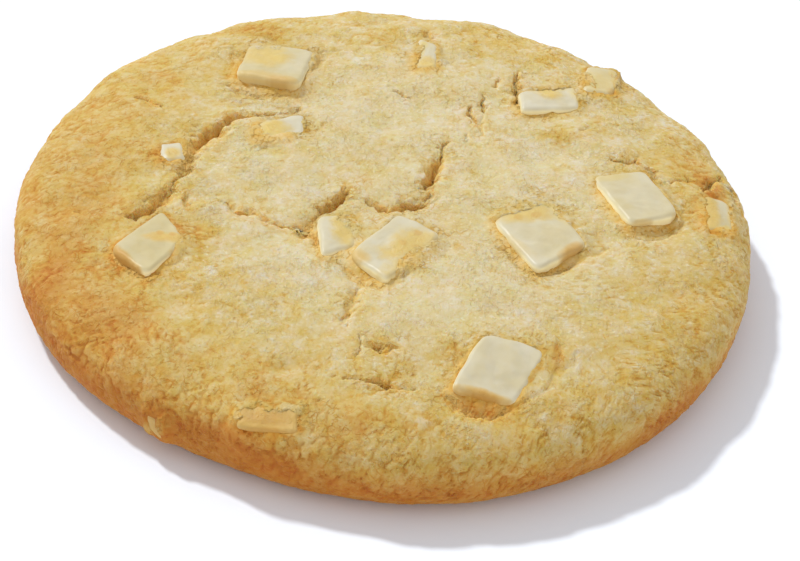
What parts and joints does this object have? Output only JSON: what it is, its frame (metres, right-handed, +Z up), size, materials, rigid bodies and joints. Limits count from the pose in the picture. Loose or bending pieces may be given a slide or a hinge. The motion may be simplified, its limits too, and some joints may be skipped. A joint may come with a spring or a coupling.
{
  "type": "white chocolate cookie",
  "caption": "Round soft-baked cookie with a cracked, sandy top, a flat base and slabs of white chocolate standing in the dough.",
  "frame": {"origin": "on the surface the cookie rests on, under the middle of its round", "axes": "+Z up through the cookie, the picture taken from the -Y side, +X to its right"},
  "size_m": [0.088, 0.0881, 0.0132],
  "materials": {
    "baked_dough": "matt, sandy baked dough, cream in the middle and golden towards the rim",
    "white_chocolate": "smooth, waxy cream with a soft sheen, browned where dough lies over it"
  },
  "bodies": {
    "root": {"dough": "baked_dough", "chunk_back": "white_chocolate", "chunk_back_left": "white_chocolate", "chunk_back_right": "white_chocolate", "chunk_back_rim": "white_chocolate", "chunk_centre": "white_chocolate", "chunk_centre_left": "white_chocolate", "chunk_centre_right": "white_chocolate", "chunk_front_right": "white_chocolate", "chunk_front_rim": "white_chocolate", "chunk_left": "white_chocolate", "chunk_left_rim": "white_chocolate", "chunk_left_small": "white_chocolate", "chunk_right": "white_chocolate", "chunk_right_rim": "white_chocolate", "chunk_upper_left": "white_chocolate"}
  },
  "joints": []
}
